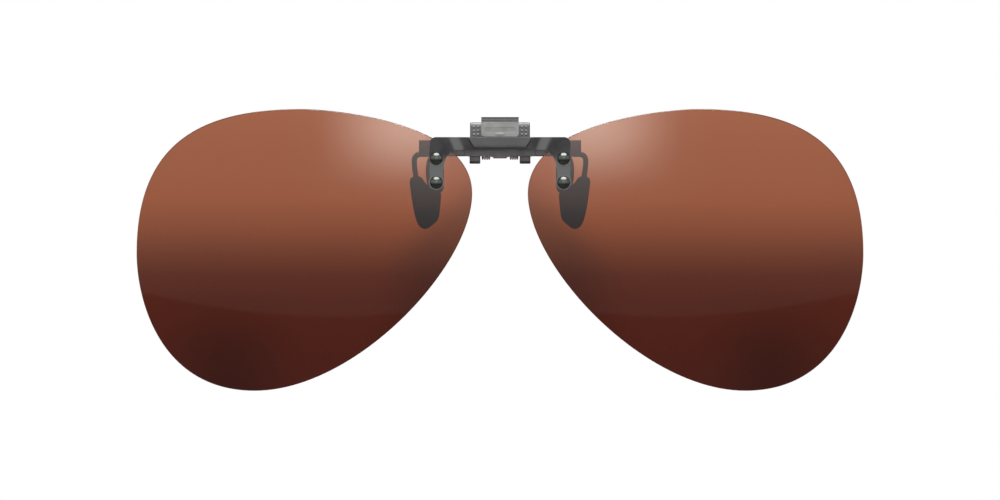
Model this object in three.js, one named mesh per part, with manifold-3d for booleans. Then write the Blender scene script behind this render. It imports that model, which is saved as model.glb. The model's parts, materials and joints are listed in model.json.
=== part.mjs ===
// Clip-on, flip-up sunglasses. Two rimless lenses are riveted to a flip-up lens bar. The bar turns
// on a pin carried by a sprung clamp, whose rubber pads grip the wearer's own spectacle lenses.
//
// Millimetres. X runs across the face and X = 0 is the mid-plane, the front faces -Y, and +Z is up.
// The origin lies midway between the front and the rear pads, at the middle of their faces.
import * as THREE from 'three';
import { mergeVertices } from 'three/addons/utils/BufferGeometryUtils.js';
import Module from 'manifold-3d';

const wasm = await Module();
wasm.setup();

// ---------------------------------------------------------------- driving dimensions

const JAW_GAP = 2.1; // between the front and the rear pad faces at rest
const PAD_DEPTH = 2.0;
const WIRE_RADIUS = 0.475;
const RUNNING_FIT = 0.05; // radial clearance round an axle or a pin
const SEAT_GAP = 0.03; // clearance where a fixed piece sits in another
const CLAMP_Y = JAW_GAP / 2 + PAD_DEPTH / 2; // mid-plane of each clamp from Y = 0

const CLAMP_BAR = { halfLength: 14.6, bottom: 9.0, top: 11.9, depth: 1.4, thinHalf: 6.4 };
const PLATE_DEPTH = 0.8; // the clamps' thinner middle and their thumb tabs
const AXLE = { z: 9.45, radius: 0.4, headRadius: 0.55, headDepth: 0.25 };
const KNUCKLE = { halfWidth: 1.2, radius: 0.85 }; // of the front clamp, on the axle
const LIP = { halfSpan: 1.9, drop: 0.4 }; // under the front clamp's bar, in front of the knuckle
const EAR = { inner: 3.55, outer: 5.49, reach: 1.2, below: 1.8 }; // of the rear clamp, on the axle
const COIL = { inner: 1.84, outer: 3.2, radius: 0.95, wireRadius: 0.15, turns: 3.5 };
const SPRING_LEG_TOP = 11.4;
const LEG_SPLAY = CLAMP_Y - CLAMP_BAR.depth / 2 - COIL.radius - COIL.wireRadius - SEAT_GAP;
// The claw wire starts in its groove, runs out to the shoulder, and bends down to end in the pad.
const CLAW = { startX: 11.9, seatZ: CLAMP_BAR.bottom + 0.35, shoulder: 14.35, bend: 1.1, endZ: 0.3 };

const FRONT_TAB = { halfWidth: 2.95, top: 15.5 }; // inside the thumb pad
const THUMB_PAD = { halfWidth: 3.37, bottom: 12.52, top: 16.06, wall: 0.4 };
const REAR_TAB = { halfWidth: 5.4, bend: 12.4, top: 15.12, lean: 0.48 };

const PIN = { y: -4.1, z: 11.4, radius: 0.4, halfLength: 5.6 }; // the flip hinge
const LUG = { inner: 3.4, outer: 4.35, radius: 0.85 }; // of the front clamp, on the pin
const BARREL = { halfWidth: 3.2, endInner: 4.55, endOuter: 5.75, flat: 0.92, corner: 0.45 };

const BAR = { bottom: 10.08, top: 12.42, wall: 0.55, arm: 0.6 }; // the lens bar
const BAR_ARCH = { halfSpan: 8.0, rise: 0.34 }; // the hollow of the bar's lower edge
const BAR_WALL_Y = PIN.y - 0.9; // rear face of the bar's middle
const TONGUE_Y = PIN.y - 2.4; // front face of the arms and tongues
const HINGE_COVER = { halfTop: 5.76, halfBottom: 4.59, bottom: 10.57, rise: 0.3 };
const TONGUE = { x: 11.46, halfWidth: 1.2, endRadius: 1.42, chamfer: 1.0 };
const JOG = { inner: 6.9, outer: 8.9 }; // where each arm steps forward

const RIVET = { upper: 8.59, lower: 4.27, headRadius: 1.14, headHeight: 0.72, shank: 0.55 };
const RIVET_TAIL = { radius: 0.95, height: 0.34 };
const BUSH_RADIUS = 0.85;
const TONGUE_GAP = 0.05; // between the tongue and the lens, where they are closest
const PLATE_GAP = 0.16; // behind the lens, which curves back towards its flat backing plate

const LENS = { radius: 180, thickness: 0.95, reach: 63 };
const LENS_Z = (RIVET.upper + RIVET.lower) / 2; // where the lens is tangent to its tongue
const LENS_FRONT = TONGUE_Y + BAR.arm + TONGUE_GAP;
const PLATE_FRONT = LENS_FRONT + LENS.thickness + PLATE_GAP;
const BACKING_DEPTH = 0.6;
const PLATE_REAR = PLATE_FRONT + BACKING_DEPTH;

// The four extreme points of a lens outline, each with how far its curve handles reach to
// either side of it: along Z at the temple and the nose, along X at the brow and the cheek.
const TEMPLE = { x: 65.6, z: -8.5, above: 20.5, below: 8.8 };
const BROW = { x: 35.7, z: 17.5, outward: 17.7, inward: 3.8 };
const NOSE = { x: 5.0, z: 2.3, above: 13.5, below: 13.1 };
const CHEEK = { x: 44.3, z: -33.3, inward: 18.3, outward: 16.9 };

const SIDES = { left: -1, right: 1 }; // as seen from the front

// ---------------------------------------------------------------- materials

const finish = (color, roughness, metalness, extra = {}) =>
  () => new THREE.MeshStandardMaterial({ color, roughness, metalness, ...extra });

const gunmetal = finish(0x4c4e50, 0.45, 0.7);
const paleGrey = finish(0x93948f, 0.55, 0.3);
const blackChrome = finish(0x2f302f, 0.15, 1.0);
const springSteel = finish(0x8a8a88, 0.3, 1.0);
const rubber = finish(0x2b2a2b, 0.85, 0.0);
const nylon = finish(0xcfccc4, 0.6, 0.0);
const brownLens = finish(0x7a3f2c, 0.05, 0.0, { transparent: true, opacity: 0.82 });

// ---------------------------------------------------------------- solids

function solid(geometry) {
  geometry.deleteAttribute('normal');
  geometry.deleteAttribute('uv');
  const merged = mergeVertices(geometry, 1e-4);
  const corners = merged.index.array;
  const faces = [];
  for (let i = 0; i < corners.length; i += 3) {
    const [a, b, c] = corners.slice(i, i + 3);
    if (a !== b && b !== c && c !== a) faces.push(a, b, c);
  }
  if (signedVolume(merged.attributes.position, faces) < 0) faces.reverse();
  return new wasm.Manifold(new wasm.Mesh({
    numProp: 3,
    vertProperties: merged.attributes.position.array,
    triVerts: new Uint32Array(faces),
  }));
}

function signedVolume(position, faces) {
  const [a, b, c] = [new THREE.Vector3(), new THREE.Vector3(), new THREE.Vector3()];
  let volume = 0;
  for (let i = 0; i < faces.length; i += 3) {
    a.fromBufferAttribute(position, faces[i]);
    b.fromBufferAttribute(position, faces[i + 1]);
    c.fromBufferAttribute(position, faces[i + 2]);
    volume += a.dot(b.cross(c)) / 6;
  }
  return volume;
}

function geometryOf(manifold) {
  const { vertProperties, triVerts } = manifold.getMesh();
  const geometry = new THREE.BufferGeometry();
  geometry.setAttribute('position', new THREE.BufferAttribute(vertProperties, 3));
  geometry.setIndex(new THREE.BufferAttribute(triVerts, 1));
  geometry.computeVertexNormals();
  return geometry;
}

function box(x0, x1, y0, y1, z0, z1) {
  const geometry = new THREE.BoxGeometry(x1 - x0, y1 - y0, z1 - z0);
  return solid(geometry.translate((x0 + x1) / 2, (y0 + y1) / 2, (z0 + z1) / 2));
}

function extrude(shape, depth, bevel, curveSegments) {
  const geometry = new THREE.ExtrudeGeometry(shape, {
    depth: depth - 2 * bevel,
    bevelEnabled: bevel > 0,
    bevelThickness: bevel,
    bevelSize: bevel,
    bevelOffset: -bevel,
    bevelSegments: 1,
    curveSegments,
  });
  return geometry.translate(0, 0, bevel);
}

// A shape drawn in X and Z, standing between two Y planes.
function slabY(shape, y0, y1, bevel = 0, curveSegments = 8) {
  const geometry = extrude(shape, y1 - y0, bevel, curveSegments);
  return solid(geometry.rotateX(Math.PI / 2).translate(0, y1, 0));
}

// A shape drawn in Y and Z, standing between two X planes.
function slabX(shape, x0, x1, bevel = 0, curveSegments = 8) {
  const geometry = extrude(shape, x1 - x0, bevel, curveSegments);
  const turned = new THREE.Matrix4().set(0, 0, 1, 0, 1, 0, 0, 0, 0, 1, 0, 0, 0, 0, 0, 1);
  return solid(geometry.applyMatrix4(turned).translate(x0, 0, 0));
}

// A shape drawn in X and Y, standing between two Z planes.
function slabZ(shape, z0, z1) {
  return solid(extrude(shape, z1 - z0, 0, 8).translate(0, 0, z0));
}

function rodX(radius, x0, x1, y, z, sides = 16) {
  const geometry = new THREE.CylinderGeometry(radius, radius, x1 - x0, sides);
  return solid(geometry.rotateZ(Math.PI / 2).translate((x0 + x1) / 2, y, z));
}

function rodY(radius, y0, y1, x, z, sides = 16) {
  const geometry = new THREE.CylinderGeometry(radius, radius, y1 - y0, sides);
  return solid(geometry.translate(x, (y0 + y1) / 2, z));
}

function polygon(points) {
  return new THREE.Shape(points.map(([u, v]) => new THREE.Vector2(u, v)));
}

function tube(path, radius, sides, steps) {
  const section = new THREE.Shape().absarc(0, 0, radius, 0, 2 * Math.PI);
  return solid(new THREE.ExtrudeGeometry(section, {
    extrudePath: path,
    steps,
    curveSegments: sides / 2,
    bevelEnabled: false,
  }));
}

function union(first, ...others) {
  return others.reduce((whole, next) => whole.add(next), first);
}

// ---------------------------------------------------------------- lenses and their rivets

function lensOutline(side) {
  const curve = (shape, points) => {
    const [a, b, c] = points.map(([x, z]) => [side * x, z]);
    shape.bezierCurveTo(...a, ...b, ...c);
  };
  const shape = new THREE.Shape().moveTo(side * TEMPLE.x, TEMPLE.z);
  curve(shape, [[TEMPLE.x, TEMPLE.z + TEMPLE.above], [BROW.x + BROW.outward, BROW.z], [BROW.x, BROW.z]]);
  curve(shape, [[BROW.x - BROW.inward, BROW.z], [NOSE.x, NOSE.z + NOSE.above], [NOSE.x, NOSE.z]]);
  curve(shape, [[NOSE.x, NOSE.z - NOSE.below], [CHEEK.x - CHEEK.inward, CHEEK.z], [CHEEK.x, CHEEK.z]]);
  curve(shape, [[CHEEK.x + CHEEK.outward, CHEEK.z], [TEMPLE.x, TEMPLE.z - TEMPLE.below],
    [TEMPLE.x, TEMPLE.z]]);
  return shape;
}

// A spherical shell about an axis along Y, with its front pole at the origin.
function lensShell() {
  const rings = 10;
  const surface = (radius, depth) => Array.from({ length: rings + 1 }, (_, i) => {
    const r = (LENS.reach * i) / rings;
    return new THREE.Vector2(r, depth + radius - Math.sqrt(radius ** 2 - r ** 2));
  });
  const front = surface(LENS.radius, 0);
  const rear = surface(LENS.radius - LENS.thickness, LENS.thickness).reverse();
  return new THREE.LatheGeometry([...front, ...rear], 44);
}

function lens(side) {
  const x = side * TONGUE.x;
  const shell = solid(lensShell().translate(x, LENS_FRONT, LENS_Z));
  const blank = slabY(lensOutline(side), LENS_FRONT - 1, LENS_FRONT + 15, 0, 22);
  const holes = [RIVET.upper, RIVET.lower].map((z) =>
    rodY(BUSH_RADIUS + RUNNING_FIT, LENS_FRONT - 1, PLATE_FRONT + 1, x, z));
  return holes.reduce((body, hole) => body.subtract(hole), shell.intersect(blank));
}

// Domed head at the front, shank through the stack, flatter head set against the backing plate.
// The underside of the front head is at Y = 0.
function rivet() {
  const cap = (radius, height, steps) => Array.from({ length: steps + 1 }, (_, i) => {
    const angle = (Math.PI / 2) * (i / steps);
    return [radius * Math.sin(angle), height * Math.cos(angle)];
  });
  const length = PLATE_REAR - TONGUE_Y + SEAT_GAP;
  const head = cap(RIVET.headRadius, RIVET.headHeight, 5).map(([r, y]) => [r, -y]);
  const tail = cap(RIVET_TAIL.radius, RIVET_TAIL.height, 3).map(([r, y]) => [r, length + y]);
  const shank = [[RIVET.shank, 0], [RIVET.shank, length]];
  const profile = [...head, ...shank, ...tail.reverse()];
  return solid(new THREE.LatheGeometry(profile.map(([r, y]) => new THREE.Vector2(r, y)), 16));
}

function lensBush() {
  const inner = RIVET.shank + SEAT_GAP;
  const profile = [[inner, 0], [BUSH_RADIUS, 0], [BUSH_RADIUS, LENS.thickness], [inner, LENS.thickness],
    [inner, 0]];
  return solid(new THREE.LatheGeometry(profile.map(([r, y]) => new THREE.Vector2(r, y)), 16));
}

// The plate behind the lens bulges outward between the two rivets.
function backingPlate(side) {
  const { x } = TONGUE;
  const at = (u, v) => [side * u, v];
  const shape = new THREE.Shape().moveTo(...at(x - 1.35, 3.6));
  shape.lineTo(...at(x - 1.35, 8.8));
  shape.quadraticCurveTo(...at(x - 1.3, 9.9), ...at(x, 9.9));
  shape.bezierCurveTo(...at(x + 1.6, 9.6), ...at(x + 1.95, 7.6), ...at(x + 1.9, 6.2));
  shape.bezierCurveTo(...at(x + 1.9, 4.6), ...at(x + 1.5, 2.2), ...at(x, 2.2));
  shape.quadraticCurveTo(...at(x - 1.3, 2.3), ...at(x - 1.35, 3.6));
  const holes = [RIVET.upper, RIVET.lower].map((z) =>
    rodY(RIVET.shank + SEAT_GAP, PLATE_FRONT - 1, PLATE_REAR + 1, side * x, z));
  const plate = slabY(shape, PLATE_FRONT, PLATE_REAR, 0.1, 6);
  return holes.reduce((body, hole) => body.subtract(hole), plate);
}

// ---------------------------------------------------------------- the lens bar

// Arm end and tongue in one flat outline: the tongue hangs from the arm and ends round the
// lower rivet.
function tongueOutline(side) {
  const { x, halfWidth, endRadius, chamfer } = TONGUE;
  const outer = x + halfWidth;
  const inner = x - halfWidth;
  const spread = Math.acos(halfWidth / endRadius);
  const at = (u, v) => [side * u, v];
  const shape = new THREE.Shape().moveTo(...at(JOG.outer, BAR.top));
  shape.lineTo(...at(outer - chamfer, BAR.top));
  shape.lineTo(...at(outer, BAR.top - chamfer));
  for (let i = 0; i <= 12; i += 1) {
    const angle = spread - (i / 12) * (Math.PI + 2 * spread);
    shape.lineTo(...at(x + endRadius * Math.cos(angle), RIVET.lower + endRadius * Math.sin(angle)));
  }
  shape.lineTo(...at(inner, 6.6));
  shape.quadraticCurveTo(...at(inner - 0.35, 9.3), ...at(JOG.outer - 0.5, BAR.bottom));
  shape.lineTo(...at(JOG.outer - 0.5, BAR.top));
  return shape;
}

// The arm seen from above, stepping forward from the bar's middle to the tongue.
function armPlan(side) {
  const front = BAR_WALL_Y - BAR.wall;
  const plan = [
    [5.0, front], [JOG.inner, front], [JOG.outer, TONGUE_Y], [9.6, TONGUE_Y],
    [9.6, TONGUE_Y + BAR.arm], [JOG.outer + 0.2, TONGUE_Y + BAR.arm], [JOG.inner + 0.2, BAR_WALL_Y],
    [5.0, BAR_WALL_Y],
  ];
  return polygon(plan.map(([x, y]) => [side * x, y]));
}

// Section of the hinge barrel: flats at the top and the rear, where the leaf spring bears when
// the lenses are down and up, joined by the round corner that it rides over.
function barrelSection() {
  const { flat, corner } = BARREL;
  const { y, z } = PIN;
  const shape = new THREE.Shape().moveTo(y - flat, z - flat);
  shape.lineTo(y + flat - corner, z - flat);
  shape.absarc(y + flat - corner, z - flat + corner, corner, -Math.PI / 2, 0);
  shape.absarc(y + flat - corner, z + flat - corner, corner, 0, Math.PI / 2);
  shape.lineTo(y - flat, z + flat);
  return shape;
}

// A thin sliver between a chord and its arc, standing between two Y planes. The arc bulges to
// one side of the chord by rise, up where rise is positive.
function arcSliver(halfSpan, chordZ, rise, y0, y1) {
  const overlap = -0.5 * Math.sign(rise);
  const shape = new THREE.Shape().moveTo(-halfSpan, chordZ + overlap);
  shape.lineTo(-halfSpan, chordZ);
  shape.quadraticCurveTo(0, chordZ + 2 * rise, halfSpan, chordZ);
  shape.lineTo(halfSpan, chordZ + overlap);
  return slabY(shape, y0, y1, 0, 12);
}

function lensBar() {
  const front = BAR_WALL_Y - BAR.wall;
  const { halfTop, halfBottom, bottom, rise } = HINGE_COVER;
  const cover = polygon([[-halfTop, BAR.top], [halfTop, BAR.top], [halfBottom, bottom],
    [-halfBottom, bottom]]);
  let bar = union(
    box(-5.2, 5.2, front, BAR_WALL_Y, BAR.bottom, BAR.top),
    slabY(cover, front - rise, front + 0.1),
    slabX(barrelSection(), -BARREL.halfWidth, BARREL.halfWidth),
  );
  for (const side of Object.values(SIDES)) {
    const ends = [side * BARREL.endInner, side * BARREL.endOuter].sort((a, b) => a - b);
    bar = union(
      bar,
      slabX(barrelSection(), ...ends),
      slabZ(armPlan(side), BAR.bottom, BAR.top),
      slabY(tongueOutline(side), TONGUE_Y, TONGUE_Y + BAR.arm, 0.1, 8),
    );
    for (const z of [RIVET.upper, RIVET.lower]) {
      const hole = rodY(RIVET.shank + SEAT_GAP, TONGUE_Y - 1, TONGUE_Y + 1, side * TONGUE.x, z);
      bar = bar.subtract(hole);
    }
  }
  const reach = BARREL.endOuter + 0.1;
  const { halfSpan, rise: arch } = BAR_ARCH;
  return bar
    .subtract(arcSliver(halfSpan, BAR.bottom, arch, TONGUE_Y - 1, PIN.y))
    .subtract(rodX(PIN.radius + RUNNING_FIT, -reach, reach, PIN.y, PIN.z));
}

function flipHingePin() {
  return rodX(PIN.radius, -PIN.halfLength, PIN.halfLength, PIN.y, PIN.z);
}

// A bowed strip between the front clamp and the barrel's rear flat.
function detentLeafSpring() {
  const thickness = 0.2;
  const halfHeight = 0.95;
  const crown = PIN.y + BARREL.flat + SEAT_GAP;
  const foot = -CLAMP_Y - PLATE_DEPTH / 2 - SEAT_GAP;
  const bow = foot - crown - thickness;
  const radius = (halfHeight ** 2 + bow ** 2) / (2 * bow);
  const spread = Math.asin(halfHeight / radius);
  const centre = [crown + radius, PIN.z + 0.04];
  const shape = new THREE.Shape();
  shape.absarc(...centre, radius, Math.PI - spread, Math.PI + spread);
  shape.absarc(...centre, radius - thickness, Math.PI + spread, Math.PI - spread, true);
  return slabX(shape, -1.5, 1.5, 0, 8);
}

// ---------------------------------------------------------------- the clamp

// The round-topped strip of a thumb tab, from the bar to its top, leaning by lean at the top.
function tabStrip(y, bend, top, lean) {
  const half = PLATE_DEPTH / 2;
  const crown = top - half;
  const shape = new THREE.Shape().moveTo(y - half, CLAMP_BAR.bottom + 0.6);
  shape.lineTo(y + half, CLAMP_BAR.bottom + 0.6);
  shape.lineTo(y + half, bend);
  shape.lineTo(y + half + lean, crown);
  shape.absarc(y + lean, crown, half, 0, Math.PI);
  shape.lineTo(y - half, bend);
  return shape;
}

// Each clamp's bar, deep enough at its ends to hold the claw wires in grooves underneath, and
// thinner in its middle on the face turned to the lenses.
function clampBar(facing) {
  const { halfLength, bottom, top, depth, thinHalf } = CLAMP_BAR;
  const y = facing * CLAMP_Y;
  const outline = polygon([[-halfLength, bottom], [halfLength, bottom], [halfLength, top],
    [-halfLength, top]]);
  const bar = slabY(outline, y - depth / 2, y + depth / 2, 0.12);
  const skin = [y + facing * (PLATE_DEPTH / 2), y + facing * depth].sort((a, b) => a - b);
  const grooves = Object.values(SIDES).map((side) => wireGroove(side, y));
  return grooves.reduce((body, cut) => body.subtract(cut),
    bar.subtract(box(-thinHalf, thinHalf, ...skin, bottom - 1, top + 1)));
}

function wireGroove(side, y) {
  const radius = WIRE_RADIUS + SEAT_GAP;
  const [x0, x1] = [side * (CLAW.startX - SEAT_GAP), side * (CLAMP_BAR.halfLength + 1)]
    .sort((a, b) => a - b);
  return union(
    rodX(radius, x0, x1, y, CLAW.seatZ, 24),
    box(x0, x1, y - radius, y + radius, CLAMP_BAR.bottom - 1, CLAW.seatZ),
  );
}

function frontClamp() {
  const y = -CLAMP_Y;
  const face = y - PLATE_DEPTH / 2;
  const inside = y + CLAMP_BAR.depth / 2;
  const web = polygon([[inside - 0.2, 9.1], [0, AXLE.z - KNUCKLE.radius], [0, AXLE.z + KNUCKLE.radius],
    [inside - 0.2, 10.6]]);
  const lugRoot = polygon([[PIN.y, PIN.z - LUG.radius], [face + 0.1, PIN.z - LUG.radius],
    [face + 0.1, CLAMP_BAR.top - 0.1], [PIN.y, PIN.z + LUG.radius]]);
  let clamp = union(
    clampBar(-1),
    slabX(tabStrip(y, CLAMP_BAR.top, FRONT_TAB.top, 0), -FRONT_TAB.halfWidth, FRONT_TAB.halfWidth),
    arcSliver(LIP.halfSpan, CLAMP_BAR.bottom, -LIP.drop, face, inside - 0.1),
    slabX(web, -KNUCKLE.halfWidth, KNUCKLE.halfWidth),
    rodX(KNUCKLE.radius, -KNUCKLE.halfWidth, KNUCKLE.halfWidth, 0, AXLE.z),
  );
  for (const side of Object.values(SIDES)) {
    const span = [side * LUG.inner, side * LUG.outer].sort((a, b) => a - b);
    clamp = union(clamp, slabX(lugRoot, ...span), rodX(LUG.radius, ...span, PIN.y, PIN.z));
  }
  const fit = RUNNING_FIT;
  return clamp
    .subtract(rodX(AXLE.radius + fit, -2, 2, 0, AXLE.z))
    .subtract(rodX(PIN.radius + fit, -6, 6, PIN.y, PIN.z));
}

// A pressed cap over the front tab: a flat wall in front, with a small nub low on it, and a rolled
// lip over the top edge.
function thumbPad() {
  const y = -CLAMP_Y;
  const inner = PLATE_DEPTH / 2 + SEAT_GAP;
  const crown = FRONT_TAB.top - PLATE_DEPTH / 2;
  const outer = THUMB_PAD.top - crown;
  const wall = y - inner - THUMB_PAD.wall;
  const profile = new THREE.Shape().moveTo(y - inner, THUMB_PAD.bottom);
  profile.lineTo(y - inner, crown);
  profile.absarc(y, crown, inner, Math.PI, 0, true);
  profile.lineTo(y + inner, crown - 0.7);
  profile.lineTo(y + outer, crown - 0.7);
  profile.lineTo(y + outer, crown);
  profile.absarc(y, crown, outer, 0, Math.PI);
  profile.lineTo(wall, crown - 0.45);
  profile.lineTo(wall, THUMB_PAD.bottom);
  const { halfWidth, bottom, top } = THUMB_PAD;
  const round = 0.55;
  const face = new THREE.Shape().moveTo(-halfWidth, top + 1);
  face.lineTo(-halfWidth, bottom + round);
  face.absarc(-halfWidth + round, bottom + round, round, Math.PI, 1.5 * Math.PI);
  face.absarc(halfWidth - round, bottom + round, round, 1.5 * Math.PI, 2 * Math.PI);
  face.lineTo(halfWidth, top + 1);
  const body = slabX(profile, -halfWidth, halfWidth, 0, 10);
  const nub = new THREE.SphereGeometry(1, 12, 8).scale(0.95, 0.16, 0.24);
  return body.intersect(slabY(face, y - 3, y + 3, 0, 5))
    .add(solid(nub.translate(0, wall, bottom + 0.5)));
}

// One ear of the rear clamp in section: round about the axle above it, square-cornered below.
function earSection() {
  const { reach, below } = EAR;
  const low = AXLE.z - below;
  const round = 0.55;
  const shape = new THREE.Shape().moveTo(CLAMP_Y, AXLE.z + reach);
  shape.lineTo(0, AXLE.z + reach);
  shape.absarc(0, AXLE.z, reach, Math.PI / 2, Math.PI);
  shape.lineTo(-reach, low + round);
  shape.absarc(-reach + round, low + round, round, Math.PI, 1.5 * Math.PI);
  shape.lineTo(reach - round, low);
  shape.absarc(reach - round, low + round, round, 1.5 * Math.PI, 2 * Math.PI);
  shape.lineTo(CLAMP_Y, AXLE.z - 0.2);
  return shape;
}

// Small square grip marks on the rear tab, where it shows beside the thumb pad.
function gripMarks() {
  const size = 0.34;
  const marks = [];
  for (const side of Object.values(SIDES)) {
    for (const x of [3.95, 4.7]) {
      for (const z of [12.75, 13.45, 14.15]) {
        const y = CLAMP_Y - PLATE_DEPTH / 2 + ((z - REAR_TAB.bend) / 2.3) * REAR_TAB.lean;
        const centre = side * x;
        marks.push(box(centre - size / 2, centre + size / 2, y - 0.1, y + 0.3, z, z + size));
      }
    }
  }
  return marks;
}

function rearClamp() {
  const { bend, top, lean, halfWidth } = REAR_TAB;
  let clamp = union(
    clampBar(1),
    slabX(tabStrip(CLAMP_Y, bend, top, lean), -halfWidth, halfWidth, 0.1),
    ...gripMarks(),
  );
  for (const side of Object.values(SIDES)) {
    const span = [side * EAR.inner, side * EAR.outer].sort((a, b) => a - b);
    clamp = clamp.add(slabX(earSection(), ...span, 0.12, 6));
  }
  return clamp.subtract(rodX(AXLE.radius + RUNNING_FIT, -7, 7, 0, AXLE.z));
}

// The axle is spread at both ends, just outside the ears.
function clampAxle() {
  const { radius, headRadius, headDepth, z } = AXLE;
  const neck = EAR.outer + SEAT_GAP;
  const tip = neck + headDepth;
  const half = [[radius, neck], [headRadius, neck], [headRadius, tip - 0.1], [headRadius - 0.15, tip],
    [0, tip]];
  const profile = [...half.map(([r, x]) => [r, -x]).reverse(), ...half];
  const geometry = new THREE.LatheGeometry(profile.map(([r, x]) => new THREE.Vector2(r, x)), 20);
  return solid(geometry.rotateZ(Math.PI / 2).translate(0, 0, z));
}

// A straight leg up behind the front clamp, the coil round the axle, and a leg up inside the
// rear clamp.
class TorsionSpringPath extends THREE.Curve {
  constructor(side) {
    super();
    this.side = side;
    this.coilAngle = COIL.turns * 2 * Math.PI;
    this.coilLength = this.coilAngle * COIL.radius;
    this.legLength = SPRING_LEG_TOP - AXLE.z;
    this.total = this.coilLength + 2 * this.legLength;
  }

  getPoint(t, target = new THREE.Vector3()) {
    const travelled = t * this.total - this.legLength;
    const along = THREE.MathUtils.clamp(travelled / this.coilLength, 0, 1);
    const x = this.side * THREE.MathUtils.lerp(COIL.inner, COIL.outer, along);
    if (along > 0 && along < 1) {
      const angle = Math.PI + along * this.coilAngle;
      return target.set(x, COIL.radius * Math.cos(angle), AXLE.z + COIL.radius * Math.sin(angle));
    }
    const rise = along === 0 ? -travelled : travelled - this.coilLength;
    const splay = COIL.radius + (LEG_SPLAY * rise) / this.legLength;
    return target.set(x, along === 0 ? -splay : splay, AXLE.z + rise);
  }
}

function torsionSpring(side) {
  return tube(new TorsionSpringPath(side), COIL.wireRadius, 6, 66);
}

// ---------------------------------------------------------------- claws and pads

// The wire's centre line, going on past its end by extra where it is cut out of the pad.
function clawPath(side, y, extra = 0) {
  const { startX, seatZ, shoulder, bend, endZ } = CLAW;
  const at = (x, z) => new THREE.Vector3(side * x, y, z);
  const low = seatZ - bend;
  const handle = bend * 0.5523; // of a quarter circle
  const path = new THREE.CurvePath();
  path.add(new THREE.LineCurve3(at(startX, seatZ), at(shoulder, seatZ)));
  path.add(new THREE.CubicBezierCurve3(
    at(shoulder, seatZ),
    at(shoulder + handle, seatZ),
    at(shoulder + bend, low + handle),
    at(shoulder + bend, low),
  ));
  path.add(new THREE.CubicBezierCurve3(
    at(shoulder + bend, low),
    at(shoulder + bend, 5.6),
    at(14.6, 3.4),
    at(13.9, endZ - extra),
  ));
  return path;
}

function clawWire(side, facing) {
  return tube(clawPath(side, facing * CLAMP_Y), WIRE_RADIUS, 8, 24);
}

// Seen from the front the pad is a slanted drop, tall on its outer side.
function padOutline(side) {
  const at = (u, v) => [side * u, v];
  const shape = new THREE.Shape().moveTo(...at(14.5, 5.35));
  shape.lineTo(...at(15.4, 5.35));
  shape.quadraticCurveTo(...at(16.35, 5.3), ...at(16.27, 4.2));
  shape.lineTo(...at(15.85, 1.0));
  shape.quadraticCurveTo(...at(15.4, -2.0), ...at(14.8, -3.2));
  shape.quadraticCurveTo(...at(14.3, -4.1), ...at(13.5, -4.1));
  shape.quadraticCurveTo(...at(13.0, -4.1), ...at(12.4, -3.55));
  shape.lineTo(...at(11.5, -2.8));
  shape.quadraticCurveTo(...at(11.0, -2.3), ...at(10.9, -1.2));
  shape.lineTo(...at(10.6, 1.8));
  shape.quadraticCurveTo(...at(10.6, 2.7), ...at(11.4, 3.0));
  shape.quadraticCurveTo(...at(13.2, 3.6), ...at(13.8, 4.7));
  shape.quadraticCurveTo(...at(14.1, 5.3), ...at(14.5, 5.35));
  return shape;
}

function gripPad(side, facing) {
  const y = facing * CLAMP_Y;
  const pad = slabY(padOutline(side), y - PAD_DEPTH / 2, y + PAD_DEPTH / 2, 0.3, 4);
  const pocket = tube(clawPath(side, y, 2 * SEAT_GAP), WIRE_RADIUS + 2 * SEAT_GAP, 8, 24);
  return pad.subtract(pocket);
}

// ---------------------------------------------------------------- assembly

function mesh(name, body, material) {
  const piece = new THREE.Mesh(geometryOf(body), material());
  piece.name = name;
  return piece;
}

function lensFrame() {
  const group = new THREE.Group();
  group.add(mesh('lens_bar', lensBar(), gunmetal));
  for (const [name, side] of Object.entries(SIDES)) {
    group.add(mesh(`lens_${name}`, lens(side), brownLens));
    group.add(mesh(`backing_plate_${name}`, backingPlate(side), gunmetal));
    for (const level of ['upper', 'lower']) {
      const fastener = mesh(`lens_rivet_${name}_${level}`, rivet(), blackChrome);
      fastener.position.set(side * TONGUE.x, TONGUE_Y - SEAT_GAP / 2, RIVET[level]);
      const bush = mesh(`lens_bush_${name}_${level}`, lensBush(), nylon);
      bush.position.set(side * TONGUE.x, LENS_FRONT, RIVET[level]);
      group.add(fastener, bush);
    }
  }
  return group;
}

function clip() {
  const group = new THREE.Group();
  group.add(
    mesh('front_clamp', frontClamp(), gunmetal),
    mesh('thumb_pad', thumbPad(), paleGrey),
    mesh('rear_clamp', rearClamp(), gunmetal),
    mesh('clamp_axle', clampAxle(), springSteel),
    mesh('flip_hinge_pin', flipHingePin(), springSteel),
    mesh('detent_leaf_spring', detentLeafSpring(), springSteel),
  );
  for (const [name, side] of Object.entries(SIDES)) {
    group.add(mesh(`torsion_spring_${name}`, torsionSpring(side), springSteel));
    for (const [end, facing] of [['front', -1], ['rear', 1]]) {
      group.add(mesh(`claw_wire_${end}_${name}`, clawWire(side, facing), gunmetal));
      group.add(mesh(`grip_pad_${end}_${name}`, gripPad(side, facing), rubber));
    }
  }
  return group;
}

const sunglasses = new THREE.Group();
sunglasses.add(lensFrame(), clip());

export default sunglasses;
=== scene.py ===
import json
import math

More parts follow.
